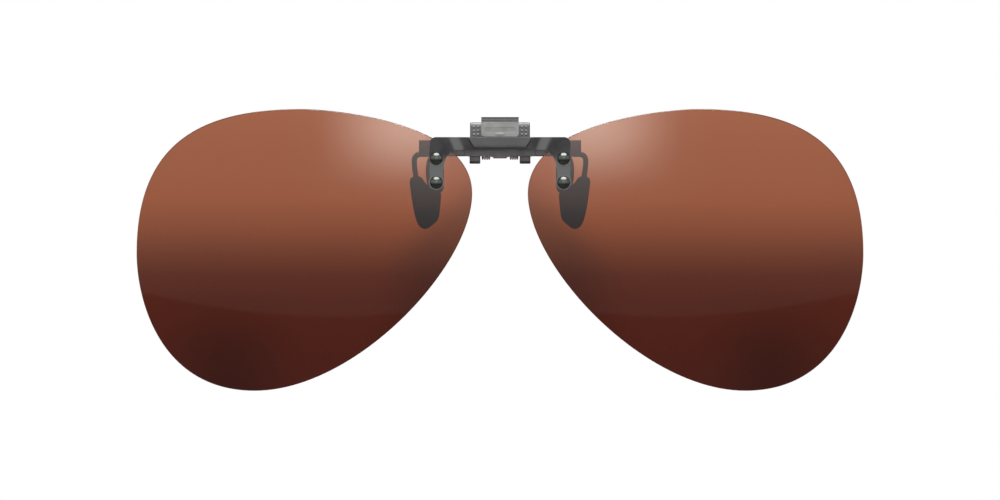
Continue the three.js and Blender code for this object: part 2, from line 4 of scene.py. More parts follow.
import bmesh
import bpy
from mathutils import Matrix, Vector


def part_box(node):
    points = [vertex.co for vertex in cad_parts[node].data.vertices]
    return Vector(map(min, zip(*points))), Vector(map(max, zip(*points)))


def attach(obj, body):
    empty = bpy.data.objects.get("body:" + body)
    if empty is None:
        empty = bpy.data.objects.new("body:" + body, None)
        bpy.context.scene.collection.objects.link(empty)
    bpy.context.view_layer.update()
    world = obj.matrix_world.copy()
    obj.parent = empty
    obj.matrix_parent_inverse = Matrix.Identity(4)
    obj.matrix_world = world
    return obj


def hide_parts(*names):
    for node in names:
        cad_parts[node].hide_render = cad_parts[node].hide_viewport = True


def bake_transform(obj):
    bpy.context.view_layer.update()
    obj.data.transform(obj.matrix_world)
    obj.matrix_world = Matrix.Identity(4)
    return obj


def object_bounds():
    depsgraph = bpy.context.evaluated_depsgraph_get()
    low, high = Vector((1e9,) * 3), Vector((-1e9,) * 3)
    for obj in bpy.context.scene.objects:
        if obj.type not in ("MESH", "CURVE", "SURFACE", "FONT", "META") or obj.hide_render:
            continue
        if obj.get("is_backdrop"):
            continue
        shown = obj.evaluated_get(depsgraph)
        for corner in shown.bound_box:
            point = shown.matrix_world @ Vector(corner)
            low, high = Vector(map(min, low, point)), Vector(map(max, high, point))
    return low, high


# Clip-on, flip-up sunglasses: two rimless brown lenses on a flip-up bar, carried by a sprung clamp.
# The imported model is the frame. Each visible piece is rebuilt finely here in the same frame, with -Y the
# front and +Z up. Named sizes are in mm, and meshes are made in metres.

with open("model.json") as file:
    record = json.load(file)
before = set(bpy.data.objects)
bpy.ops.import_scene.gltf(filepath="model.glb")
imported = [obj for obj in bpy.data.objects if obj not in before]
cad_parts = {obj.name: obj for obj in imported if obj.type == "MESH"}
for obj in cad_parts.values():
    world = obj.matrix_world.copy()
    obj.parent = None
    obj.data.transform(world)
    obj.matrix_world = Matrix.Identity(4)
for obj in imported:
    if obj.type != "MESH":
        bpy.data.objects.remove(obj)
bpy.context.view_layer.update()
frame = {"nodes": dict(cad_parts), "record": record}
MM = 0.001
# Points nearer than this many metres are one point.
TINY = 1e-7
BODY_OF = {
    node: body
    for body, nodes in frame["record"]["behaviour"]["bodies"].items()
    for node in nodes
}
SLOT_OF = {part["node"]: part["material_slot"] for part in frame["record"]["subparts"]}
SIDES = {"left": -1, "right": 1}
LEVELS = ("upper", "lower")
ENDS = ("front", "rear")
# Each arm of the lens bar steps forward between two slanting folds, given where they cross a level.
JOG = {"inner": 6.9, "outer": 8.9, "skew": 0.44, "level": 11.25}
# The front face of the rear tab: its Y and Z where it starts to lean back, and its slope.
TAB = {"y": 1.65, "z": 12.4, "slope": 0.21}


# ------------------------------------------------------------------ node helpers

# Most of a noise's values lie between these two.
NOISE_SPREAD = (0.3, 0.7)


class Tree:
    """A material's or the world's node tree, with short calls to add nodes to it."""

    def __init__(self, owner):
        owner.use_nodes = True
        self.owner = owner
        self.tree = owner.node_tree
        self.tree.nodes.clear()

    def node(self, kind, inputs=None, **settings):
        made = self.tree.nodes.new(kind)
        for name, value in settings.items():
            setattr(made, name, value)
        for name, value in (inputs or {}).items():
            self.feed(made.inputs[name], value)
        return made

    def feed(self, socket, value):
        if isinstance(value, bpy.types.NodeSocket):
            self.tree.links.new(value, socket)
        else:
            socket.default_value = value

    def parts(self, direction):
        """The sockets X, Y and Z of a place or a direction."""
        return self.node("ShaderNodeSeparateXYZ", {"Vector": direction}).outputs

    def math(self, operation, a, b=None):
        made = self.node("ShaderNodeMath", {0: a}, operation=operation)
        if b is not None:
            self.feed(made.inputs[1], b)
        return made.outputs[0]

    def add(self, a, b):
        return self.math("ADD", a, b)

    def minus(self, a, b):
        return self.math("SUBTRACT", a, b)

    def times(self, first, *others):
        product = first
        for other in others:
            product = self.math("MULTIPLY", product, other)
        return product

    def most(self, first, *others):
        """The largest of the values."""
        largest = first
        for other in others:
            largest = self.math("MAXIMUM", largest, other)
        return largest

    def ease(self, value, low, high, low_out=0.0, high_out=1.0):
        """A smooth step from low_out to high_out as value goes from low to high."""
        inputs = {
            "Value": value,
            "From Min": low,
            "From Max": high,
            "To Min": low_out,
            "To Max": high_out,
        }
        made = self.node("ShaderNodeMapRange", inputs, interpolation_type="SMOOTHSTEP")
        return made.outputs["Result"]

    def ease_mm(self, value, low, high, low_out=0.0, high_out=1.0):
        """The same step for a value in metres, between two places in mm."""
        return self.ease(value, low * MM, high * MM, low_out, high_out)

    def between(self, value, rise, fall):
        """The product of two such steps, one up and one down. Each gives its places in mm."""
        return self.times(self.ease_mm(value, *rise), self.ease_mm(value, *fall))

    def ease_linear(self, value, low, high):
        """Straight from 0 to 1 as value goes from low to high."""
        inputs = {"Value": value, "From Min": low, "From Max": high}
        return self.node("ShaderNodeMapRange", inputs).outputs["Result"]

    def ramp(self, value, stops):
        made = self.node("ShaderNodeValToRGB", {"Fac": value})
        elements = made.color_ramp.elements
        while len(elements) < len(stops):
            elements.new(1.0)
        for element, (position, colour) in zip(elements, stops):
            element.position = position
            element.color = (*colour, 1.0)
        return made.outputs["Color"]

    def noise(self, position, scale, detail=2.0, roughness=0.5):
        inputs = {"Vector": position, "Scale": scale, "Detail": detail, "Roughness": roughness}
        return self.node("ShaderNodeTexNoise", inputs).outputs["Fac"]

    def varied(self, noise, low, high):
        """A value that follows a noise from low to high."""
        return self.ease(noise, *NOISE_SPREAD, low, high)

    def stretched(self, position, stretch):
        return self.node("ShaderNodeMapping", {"Vector": position, "Scale": stretch}).outputs[0]

    def bump(self, height, distance, strength):
        """A normal tilted by a height. The distance is in mm."""
        inputs = {"Height": height, "Distance": distance * MM, "Strength": strength}
        return self.node("ShaderNodeBump", inputs).outputs["Normal"]

    def mix(self, factor, a, b):
        """A colour between a and b, which are sockets or plain colours."""
        made = self.node("ShaderNodeMix", data_type="RGBA")
        self.feed(made.inputs["Factor"], factor)
        for name, colour in (("A", a), ("B", b)):
            linked = isinstance(colour, bpy.types.NodeSocket)
            self.feed(made.inputs[name], colour if linked else (*colour, 1.0))
        return made.outputs["Result"]


def material(name):
    """A new material's tree, and the place of each point in the frame at rest."""
    tree = Tree(bpy.data.materials.new(name))
    return tree, tree.node("ShaderNodeTexCoord").outputs["Object"]


def surface(tree, inputs):
    """Ends the material in one shader with these inputs."""
    shader = tree.node("ShaderNodeBsdfPrincipled", inputs)
    tree.node("ShaderNodeOutputMaterial", {"Surface": shader.outputs[0]})
    return tree.owner


# ------------------------------------------------------------------ materials

# In the tables of places below, each row holds where a step starts and where it ends, in mm. Where a row
# has four numbers, the last two are the step's values there, and otherwise it goes from 0 to 1.

# The lens's transmitted colour, from the lowest level of the tint to the highest.
LENS_TINT = [
    (0.00, (0.060, 0.0085, 0.0040)),
    (0.20, (0.070, 0.0098, 0.0042)),
    (0.32, (0.080, 0.0120, 0.0045)),
    (0.42, (0.098, 0.0165, 0.0050)),
    (0.50, (0.150, 0.0300, 0.0070)),
    (0.58, (0.222, 0.0470, 0.0095)),
    (0.68, (0.281, 0.0620, 0.0115)),
    (0.84, (0.300, 0.0720, 0.0180)),
    (1.00, (0.330, 0.0900, 0.0300)),
]
TINT = {"lowest": -34, "highest": 18, "drift": 2, "drift_scale": 30.0}
# Painted shade darkens the lens in a pool low on the cheek and in a slanting band on the nose side.
PAINTED_LENS_SHADE = {
    "pool_across": 49,
    "pool_reach": (15, 0),
    "pool_height": (-13, -29),
    "nose_shade_from": 8,
    "nose_shade_slope": 0.9,
    "nose_shade_height": (6.5, -4),
    "nose_shade_across": (25, 11),
    "strength": 0.38,
}
# A painted sheen lightens the tint high on the nose side, over the clamps.
PAINTED_SHEEN = {
    "outer": (34, 17),
    "inner": (8, 15),
    "height": (2, 15),
    "strength": 0.45,
    "colour": (0.767, 0.487, 0.367),
}


def tint_by_height(tree, position, height):
    """The tint, along levels that drift up and down a little."""
    noise = tree.noise(position, TINT["drift_scale"], detail=1.0)
    drift = tree.times(tree.minus(noise, 0.5), TINT["drift"] * MM)
    level = tree.ease_linear(tree.add(height, drift), TINT["lowest"] * MM, TINT["highest"] * MM)
    return tree.ramp(level, LENS_TINT)


def painted_lens_shade(tree, across, height):
    """Where painted shade darkens the lens."""
    off = tree.math("ABSOLUTE", tree.minus(across, PAINTED_LENS_SHADE["pool_across"] * MM))
    pool = tree.times(tree.ease_mm(off, *PAINTED_LENS_SHADE["pool_reach"]), tree.ease_mm(height, *PAINTED_LENS_SHADE["pool_height"]))
    lean = tree.times(tree.minus(across, PAINTED_LENS_SHADE["nose_shade_from"] * MM), PAINTED_LENS_SHADE["nose_shade_slope"])
    slanted = tree.ease_mm(tree.add(height, lean), *PAINTED_LENS_SHADE["nose_shade_height"])
    # The band of painted shade on the nose side.
    wash = tree.times(slanted, tree.ease_mm(across, *PAINTED_LENS_SHADE["nose_shade_across"]))
    return tree.most(pool, wash)


def tinted_lens():
    """Brown lens, lighter at the brow, with painted shade and a painted sheen, and a smooth glossy face."""
    tree, position = material("tinted_lens")
    parts = tree.parts(position)
    across = tree.math("ABSOLUTE", parts["X"])
    height = parts["Z"]
    # Painted shade darkens the tint on the cheek and on the nose side.
    shade = tree.minus(1.0, tree.times(painted_lens_shade(tree, across, height), PAINTED_LENS_SHADE["strength"]))
    scaled = {0: tint_by_height(tree, position, height), "Scale": shade}
    dark = tree.node("ShaderNodeVectorMath", scaled, operation="SCALE").outputs[0]
    # A painted sheen: the tint is lightened high on the nose side.
    band = tree.between(across, PAINTED_SHEEN["outer"], PAINTED_SHEEN["inner"])
    sheen = tree.times(tree.ease_mm(height, *PAINTED_SHEEN["height"]), band, PAINTED_SHEEN["strength"])
    wipe = tree.noise(tree.stretched(position, (1.0, 1.0, 3.0)), scale=60.0, detail=3.0)
    inputs = {
        "Base Color": tree.mix(sheen, dark, PAINTED_SHEEN["colour"]),
        "Roughness": tree.ease(wipe, 0.3, 0.8, 0.012, 0.03),
        "Transmission Weight": 1.0,
        "IOR": 1.52,
    }
    return surface(tree, inputs)


def cloudy(tree, position, dark, light):
    """A tone that drifts between two colours, with the fine grain of a cast or sprayed finish."""
    cloud = tree.noise(position, scale=420.0, detail=3.0)
    grain = tree.noise(position, scale=9000.0)
    relief = tree.add(tree.times(grain, 0.4), cloud)
    return tree.mix(tree.ease(cloud, 0.35, 0.65), dark, light), grain, relief


# Painted shade darkens the clamp's bar toward its ends, by the distance across.
SATIN_END_SHADE = (9.5, 12.5, 0.0, 0.7)
# The rear tab's leaning face, where painted shade goes, and its grip marks, by how far behind that face
# they lie, and by height.
TAB_FACE_SHADE = {"rise": (-0.07, -0.03), "fall": (0.2, 0.1), "strength": 0.9, "colour": (0.054, 0.055, 0.055)}
TAB_MARKS = {"rise": (-0.03, -0.07), "fall": (-0.3, -0.2), "colour": (0.23, 0.23, 0.23)}
TAB_HEIGHT = {"rise": (11.9, 12.5), "fall": (14.75, 14.4)}


def satin_clamp():
    """Grey satin plating, with painted shade at the bar's ends and on the leaning rear tab around its grip
    marks and under its top edge.
    """
    tree, position = material("satin_clamp")
    tone, grain, relief = cloudy(tree, position, (0.122, 0.117, 0.119), (0.146, 0.140, 0.142))
    parts = tree.parts(position)
    # Painted shade toward the bar's ends.
    ends = tree.ease_mm(tree.math("ABSOLUTE", parts["X"]), *SATIN_END_SHADE)
    tone = tree.mix(ends, tone, (0.066, 0.060, 0.060))
    lean = tree.times(tree.minus(parts["Z"], TAB["z"] * MM), TAB["slope"])
    behind = tree.minus(tree.minus(parts["Y"], lean), TAB["y"] * MM)
    height = tree.between(parts["Z"], TAB_HEIGHT["rise"], TAB_HEIGHT["fall"])
    # Painted shade on the rear tab's leaning face.
    face = tree.times(tree.between(behind, TAB_FACE_SHADE["rise"], TAB_FACE_SHADE["fall"]), height)
    marks = tree.times(tree.between(behind, TAB_MARKS["rise"], TAB_MARKS["fall"]), height)
    tone = tree.mix(tree.times(face, TAB_FACE_SHADE["strength"]), tone, TAB_FACE_SHADE["colour"])
    tone = tree.mix(marks, tone, TAB_MARKS["colour"])
    inputs = {
        "Base Color": tone,
        "Metallic": 1.0,
        "Roughness": tree.varied(grain, 0.41, 0.52),
        "Normal": tree.bump(relief, distance=0.012, strength=0.6),
    }
    return surface(tree, inputs)


# Painted shade on the pad's lip by height and in its sunken grip by Y, and a painted highlight on its nub
# by both.
CAP = {
    "lip": (15.12, 15.3),
    "sunk": (-2.865, -2.835, 0.0, 0.16),
    "nub_front": (-2.90, -2.94),
    "nub_height": (14.0, 13.6),
}


def pressed_cap():
    """Pale satin coating, with painted shade on the rolled lip and a little in the grip, and a painted
    highlight on the nub.
    """
    tree, position = material("pressed_cap")
    pale, grain, relief = cloudy(tree, position, (0.40, 0.405, 0.39), (0.50, 0.505, 0.485))
    parts = tree.parts(position)
    lip = tree.ease_mm(parts["Z"], *CAP["lip"])
    sunk = tree.ease_mm(parts["Y"], *CAP["sunk"])
    raised = tree.ease_mm(parts["Y"], *CAP["nub_front"])
    nub = tree.times(raised, tree.ease_mm(parts["Z"], *CAP["nub_height"]))
    # A painted highlight on the nub.
    with_nub_highlight = tree.mix(nub, pale, (0.58, 0.58, 0.56))
    # Painted shade on the rolled lip and in the sunken grip.
    inputs = {
        "Base Color": tree.mix(tree.most(lip, sunk), with_nub_highlight, (0.042, 0.042, 0.041)),
        "Roughness": tree.varied(grain, 0.46, 0.6),
        "Normal": tree.bump(relief, distance=0.02, strength=0.7),
        "Specular IOR Level": 0.3,
    }
    return surface(tree, inputs)


# The places of painted highlights on the lens bar: its hinge cover by Y, X and height, with a brighter brow
# along its top, each fold by the distance across, and the tongues by height.
PAINTED_HIGHLIGHTS = {
    "cover_front": (-5.62, -5.8, 0.0, 0.5),
    "cover_across": (6.2, 5.9),
    "cover_height": (10.5, 11.3, 0.35, 1.0),
    "brow": (12.28, 12.34, 0.0, 2.0),
    "fold_rise": (6.5, 7.4, 0.0, 0.8),
    "fold_fall": (9.1, 8.3),
    "tongue": (9.6, 7.4, 0.0, 0.75),
}


def painted_highlights(tree, position):
    """Where painted highlights lighten the lens bar's plating, and how far."""
    parts = tree.parts(position)
    across = tree.math("ABSOLUTE", parts["X"])
    cover = tree.times(
        tree.ease_mm(parts["Y"], *PAINTED_HIGHLIGHTS["cover_front"]),
        tree.ease_mm(across, *PAINTED_HIGHLIGHTS["cover_across"]),
        tree.ease_mm(parts["Z"], *PAINTED_HIGHLIGHTS["cover_height"]),
    )
    brow = tree.times(cover, tree.ease_mm(parts["Z"], *PAINTED_HIGHLIGHTS["brow"]))
    skew = tree.times(tree.minus(parts["Z"], JOG["level"] * MM), JOG["skew"])
    fold = tree.between(tree.minus(across, skew), PAINTED_HIGHLIGHTS["fold_rise"], PAINTED_HIGHLIGHTS["fold_fall"])
    tongue = tree.ease_mm(parts["Z"], *PAINTED_HIGHLIGHTS["tongue"])
    return tree.most(cover, fold, tongue, brow)


def gunmetal_with_highlights():
    """Dark plating, with painted highlights on the hinge cover, on each fold and down the tongues."""
    tree, position = material("gunmetal_with_highlights")
    dark, grain, relief = cloudy(tree, position, (0.036, 0.036, 0.038), (0.050, 0.050, 0.052))
    # Painted highlights lighten the plating on the cover, its brow, the folds and the tongues.
    inputs = {
        "Base Color": tree.mix(painted_highlights(tree, position), dark, (0.138, 0.142, 0.138)),
        "Metallic": 1.0,
        "Roughness": tree.varied(grain, 0.37, 0.48),
        "Normal": tree.bump(relief, distance=0.012, strength=0.6),
    }
    return surface(tree, inputs)


def black_chrome():
    """Polished dark plating with faint scuffs."""
    tree, position = material("black_chrome")
    cloud = tree.noise(position, scale=1500.0)
    scuff = tree.noise(tree.stretched(position, (1.0, 1.0, 6.0)), scale=4000.0)
    inputs = {
        "Base Color": tree.mix(cloud, (0.05, 0.055, 0.05), (0.13, 0.135, 0.125)),
        "Metallic": 1.0,
        "Roughness": tree.varied(scuff, 0.19, 0.27),
        "Normal": tree.bump(scuff, distance=0.002, strength=0.4),
    }
    return surface(tree, inputs)


def drawn_steel():
    """Spring wire and turned pins, with fine lines along the X axis that they lie on."""
    tree, position = material("drawn_steel")
    lines = tree.noise(tree.stretched(position, (0.15, 1.0, 1.0)), scale=9000.0, detail=3.0)
    stain = tree.noise(position, scale=900.0)
    inputs = {
        "Base Color": tree.mix(stain, (0.36, 0.35, 0.33), (0.58, 0.56, 0.53)),
        "Metallic": 1.0,
        "Roughness": tree.varied(lines, 0.28, 0.38),
        "Normal": tree.bump(lines, distance=0.001, strength=0.25),
    }
    return surface(tree, inputs)


def moulded_rubber():
    """Dark matt rubber with a little dust."""
    tree, position = material("moulded_rubber")
    dust = tree.noise(position, scale=700.0, detail=4.0, roughness=0.6)
    grain = tree.noise(position, scale=7000.0)
    clean, dusty = (0.020, 0.0195, 0.0205), (0.034, 0.033, 0.034)
    inputs = {
        "Base Color": tree.mix(tree.ease(dust, 0.4, 0.75), clean, dusty),
        "Roughness": tree.varied(grain, 0.62, 0.8),
        "Normal": tree.bump(grain, distance=0.012, strength=0.6),
    }
    return surface(tree, inputs)


def natural_nylon():
    """Uncoloured nylon, slightly clouded."""
    tree, position = material("natural_nylon")
    cloud = tree.noise(position, scale=1200.0)
    inputs = {
        "Base Color": tree.mix(cloud, (0.52, 0.50, 0.45), (0.66, 0.64, 0.59)),
        "Roughness": tree.varied(cloud, 0.42, 0.55),
    }
    return surface(tree, inputs)


FINISHES = {
    "lens": tinted_lens(),
    "gunmetal": gunmetal_with_highlights(),
    "clamp_metal": satin_clamp(),
    "pale_grey": pressed_cap(),
    "black_chrome": black_chrome(),
    "spring_steel": drawn_steel(),
    "nylon": natural_nylon(),
    "rubber": moulded_rubber(),
}


# ------------------------------------------------------------------ mesh helpers

# An edge folded by more degrees than this is rounded. Facets of a round are under it.
CREASE = 24.0
# Faces that meet at fewer degrees than this are one flat face.
FLAT = 0.6
# How strongly large faces pull the shading of the rounded edges beside them.
FLAT_WEIGHT = 80


def centre_mm(node):
    """X, Y and Z of the middle of a CAD node's box, in mm."""
    low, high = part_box(node)
    return [round(value / MM, 3) for value in (low + high) / 2]


def add_object(name, data):
    made = bpy.data.objects.new(name, data)
    bpy.context.scene.collection.objects.link(made)
    return made


def object_from(name, bm):
    mesh = bpy.data.meshes.new(name)
    bm.to_mesh(mesh)
    bm.free()
    return add_object(name, mesh)


def place(piece, node):
    """Gives a piece its node's finish and body, and hides the node."""
    slot = SLOT_OF[node]
    piece.data.materials.clear()
    piece.data.materials.append(FINISHES[slot])
    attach(piece, BODY_OF[node])
    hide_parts(node)
    return piece


def smooth(piece, angle):
    """Shades the piece as round wherever its faces meet at fewer degrees than the angle."""
    for polygon in piece.data.polygons:
        polygon.use_smooth = True
    piece.data.set_sharp_from_angle(angle=math.radians(angle))
    return piece


def baked(piece):
    """Applies the piece's modifiers to its mesh."""
    evaluated = piece.evaluated_get(bpy.context.evaluated_depsgraph_get())
    mesh = bpy.data.meshes.new_from_object(evaluated)
    piece.modifiers.clear()
    piece.data = mesh
    return piece


def merge(bm, gap):
    """Welds points that are nearer than the gap, in mm, and makes split flat faces whole."""
    bmesh.ops.remove_doubles(bm, verts=bm.verts, dist=gap * MM)
    bmesh.ops.dissolve_limit(bm, angle_limit=math.radians(FLAT), verts=bm.verts, edges=bm.edges)


def cad_shape(node, gap=0.002):
    """A piece with the CAD node's own mesh, merged."""
    bm = bmesh.new()
    bm.from_mesh(frame["nodes"][node].data)
    merge(bm, gap)
    return object_from(f"fine_{node}", bm)


def whole_faces(piece):
    """Joins the coplanar faces that combining has split."""
    bm = bmesh.new()
    bm.from_mesh(piece.data)
    merge(bm, gap=0.004)
    bm.to_mesh(piece.data)
    bm.free()
    return piece


def rounded(piece, width, segments=3, limited=True):
    """Rounds the piece's sharp edges, and keeps its flat faces looking flat."""
    smooth(piece, CREASE)
    bevel = piece.modifiers.new("round", "BEVEL")
    bevel.width = width * MM
    bevel.segments = segments
    bevel.limit_method = "ANGLE"
    bevel.angle_limit = math.radians(CREASE)
    bevel.use_clamp_overlap = limited
    flatten = piece.modifiers.new("flatten", "WEIGHTED_NORMAL")
    flatten.weight = FLAT_WEIGHT
    flatten.keep_sharp = False
    return piece


def softened(node, width, segments=3):
    """The CAD node's own shape with its sharp edges rounded."""
    return place(rounded(cad_shape(node), width, segments), node)


def clamp(node):
    """A clamp's own shape, with a narrow rounding that keeps its width along every edge."""
    return place(rounded(cad_shape(node, gap=0.03), width=0.035, limited=False), node)


def prism(name, outline, start, end):
    """A closed slab: a flat outline of points, carried from start to end."""
    bm = bmesh.new()
    near = [bm.verts.new(point + start) for point in outline]
    far = [bm.verts.new(point + end) for point in outline]
    bm.faces.new(near)
    bm.faces.new(reversed(far))
    for i, vertex in enumerate(near):
        j = (i + 1) % len(near)
        bm.faces.new((vertex, far[i], far[j], near[j]))
    bmesh.ops.recalc_face_normals(bm, faces=bm.faces)
    return object_from(name, bm)


def slab_y(name, outline, y0, y1):
    """An outline of (X, Z) pairs in mm between two Y planes in mm."""
    points = [Vector((x, 0, z)) * MM for x, z in outline]
    return prism(name, points, Vector((0, y0, 0)) * MM, Vector((0, y1, 0)) * MM)


def slab_x(name, outline, x0, x1):
    """An outline of (Y, Z) pairs in mm between two X planes in mm."""
    points = [Vector((0, y, z)) * MM for y, z in outline]
    return prism(name, points, Vector((x0, 0, 0)) * MM, Vector((x1, 0, 0)) * MM)


def combine(piece, operation, *others):
    """Adds the other solids to the piece, or cuts them out of it."""
    for other in others:
        step = piece.modifiers.new("combine", "BOOLEAN")
        step.operation = operation
        step.object = other
        step.solver = "EXACT"
        bpy.context.view_layer.update()
        baked(piece)
        bpy.data.objects.remove(other)
    return piece


def arc(centre, radius, start, end, steps):
    """Points of an arc in the plane, with angles in degrees."""
    for i in range(steps + 1):
        a = math.radians(start + (end - start) * i / steps)
        yield (centre[0] + radius * math.cos(a), centre[1] + radius * math.sin(a))


def circle(centre, radius, sides):
    return arc(centre, radius, 0, 360 - 360 / sides, sides - 1)


def rounded_rectangle(x0, x1, z0, z1, radius):
    corners = [((x1, z1), 0), ((x0, z1), 90), ((x0, z0), 180), ((x1, z0), 270)]
    middle = ((x0 + x1) / 2, (z0 + z1) / 2)
    for (x, z), start in corners:
        centre = (x + math.copysign(radius, middle[0] - x), z + math.copysign(radius, middle[1] - z))
        yield from arc(centre, radius, start, start + 90, steps=6)


def quadratic(a, control, b, steps):
    """Points of a curve from a to b, without a itself."""
    for i in range(1, steps + 1):
        t = i / steps
        yield tuple(a[k] * (1 - t) ** 2 + 2 * control[k] * t * (1 - t) + b[k] * t**2 for k in (0, 1))


def cubic(points, steps):
    """Points of a curve with two controls, without its last point."""
    a, b, c, d = (Vector(point) for point in points)
    for i in range(steps):
        t = i / steps
        u = 1 - t
        yield a * u**3 + b * 3 * u * u * t + c * 3 * u * t * t + d * t**3


# ------------------------------------------------------------------ lenses

LENS_RADIUS = 180 * MM
LENS_THICKNESS = 0.95 * MM
EDGE_ROUND = 0.14 * MM
# The outline's extreme points: where each lies along its side of the box, and how far its curves reach.
TEMPLE = {"z": -8.5, "above": 20.5, "below": 8.8}
BROW = {"x": 35.7, "outward": 17.7, "inward": 3.8}
NOSE = {"z": 2.3, "above": 13.5, "below": 13.1}
CHEEK = {"x": 44.3, "inward": 18.3, "outward": 16.9}
# How finely a lens is divided: points on each quarter, rings on each face and steps round the edge. The
# rings shrink from the edge to a small share of the outline at the middle.
LENS_GRID = {"quarter": 48, "rings": 26, "edge": 5, "first": 0.04, "last": 0.995}
LENS_HOLE = {"radius": 0.9, "sides": 48, "reach": 3}


def lens_outline(side):
    """Points of the lens's edge in X and Z, from the temple over the brow, the nose and the cheek."""
    low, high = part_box("lens_right")
    temple = Vector((high.x / MM, TEMPLE["z"]))
    brow = Vector((BROW["x"], high.z / MM))
    nose = Vector((low.x / MM, NOSE["z"]))
    cheek = Vector((CHEEK["x"], low.z / MM))
    out, up = Vector((1, 0)), Vector((0, 1))
    quarters = [
        (temple, temple + up * TEMPLE["above"], brow + out * BROW["outward"], brow),
        (brow, brow - out * BROW["inward"], nose + up * NOSE["above"], nose),
        (nose, nose - up * NOSE["below"], cheek - out * CHEEK["inward"], cheek),
        (cheek, cheek + out * CHEEK["outward"], temple - up * TEMPLE["below"], temple),
    ]
    points = [point * MM for quarter in quarters for point in cubic(quarter, LENS_GRID["quarter"])]
    return [Vector((side * point.x, point.y)) for point in points]


def inset(outline, distance):
    """The outline moved inward by distance."""
    before = outline[-1:] + outline[:-1]
    after = outline[1:] + outline[:1]
    area = sum(point.x * following.y - following.x * point.y for point, following in zip(outline, after))
    turn = math.copysign(1, area)
    moved = []
    for previous, point, following in zip(before, outline, after):
        along = (following - previous).normalized()
        moved.append(point + Vector((-along.y, along.x)) * turn * distance)
    return moved


def lens_rings(outline, middle):
    """Flat loops with their depths, from the middle of the front over the edge to the back's middle."""
    first, last, count = LENS_GRID["first"], LENS_GRID["last"], LENS_GRID["rings"]
    shares = [first + (last - first) * i / count for i in range(count + 1)]
    face = [[middle + (point - middle) * share for point in outline] for share in shares]
    edge = []
    for i in range(LENS_GRID["edge"] + 1):
        turn = math.pi / 2 * i / LENS_GRID["edge"]
        loop = inset(outline, EDGE_ROUND * (1 - math.sin(turn)))
        edge.append((loop, EDGE_ROUND * (1 - math.cos(turn))))
    rings = [(loop, 0.0) for loop in face]
    rings += edge
    rings += [(loop, LENS_THICKNESS - depth) for loop, depth in reversed(edge)]
    rings += [(loop, LENS_THICKNESS) for loop in reversed(face)]
    return rings


def on_sphere(point, pole, front, depth):
    """A flat loop's point on the sphere that lies at a depth behind the lens's front."""
    radius = LENS_RADIUS - depth
    sag = radius - math.sqrt(radius**2 - (point - pole).length_squared)
    return Vector((point.x, front + depth + sag, point.y))


def drill(piece, centres):
    """Cuts round holes along Y through the piece."""
    reach = Vector((0, LENS_HOLE["reach"] * MM, 0))
    for centre in centres:
        loop = circle((centre.x, centre.z), LENS_HOLE["radius"] * MM, LENS_HOLE["sides"])
        points = [Vector((x, centre.y, z)) for x, z in loop]
        combine(piece, "DIFFERENCE", prism("drill", points, -reach, reach))


def lens(side_name):
    """A closed spherical shell with a rounded edge and two rivet holes."""
    node = f"lens_{side_name}"
    boxes = [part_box(f"lens_rivet_{side_name}_{level}") for level in LEVELS]
    holes = [(low + high) / 2 for low, high in boxes]
    pole = (holes[0] + holes[1]).xz / 2
    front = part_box(node)[0].y
    outline = lens_outline(SIDES[side_name])
    middle = sum(outline, Vector((0, 0))) / len(outline)
    bm = bmesh.new()
    loops = []
    for ring, depth in lens_rings(outline, middle):
        loops.append([bm.verts.new(on_sphere(point, pole, front, depth)) for point in ring])
    for near, far in zip(loops, loops[1:]):
        for i, vertex in enumerate(near):
            j = (i + 1) % len(near)
            bm.faces.new((vertex, near[j], far[j], far[i]))
    for loop, depth in ((loops[0], 0.0), (loops[-1], LENS_THICKNESS)):
        centre = bm.verts.new(on_sphere(middle, pole, front, depth))
        for i, vertex in enumerate(loop):
            bm.faces.new((vertex, loop[(i + 1) % len(loop)], centre))
    bmesh.ops.recalc_face_normals(bm, faces=bm.faces)
    piece = object_from(f"fine_{node}", bm)
    drill(piece, holes)
    smooth(piece, angle=50)
    return place(piece, node)


# ------------------------------------------------------------------ turned and drawn pieces

RIVET = {"head": 0.72, "rim": 0.1, "shank": 0.55, "tail": 0.34, "tail_radius": 0.95, "edge": 0.02}


def lathe_y(name, profile, centre, sides=56):
    """A profile of (radius, Y) that starts and ends on the axis, turned about Y through the centre."""
    bm = bmesh.new()
    rows = []
    for radius, y in profile:
        if radius < TINY:
            rows.append([bm.verts.new(centre + Vector((0, y, 0)))])
        else:
            ring = circle((0, 0), radius, sides)
            rows.append([bm.verts.new(centre + Vector((x, y, z))) for x, z in ring])
    for near, far in zip(rows, rows[1:]):
        for i in range(sides):
            j = (i + 1) % sides
            corners = [near[i % len(near)], near[j % len(near)], far[j % len(far)], far[i % len(far)]]
            bm.faces.new(list(dict.fromkeys(corners)))
    bmesh.ops.recalc_face_normals(bm, faces=bm.faces)
    return object_from(name, bm)


def dome(radius, rise, steps):
    """Points of a quarter of an ellipse, from its top on the axis to its rim."""
    for i in range(steps + 1):
        a = math.pi / 2 * i / steps
        yield radius * math.sin(a), rise * math.cos(a)


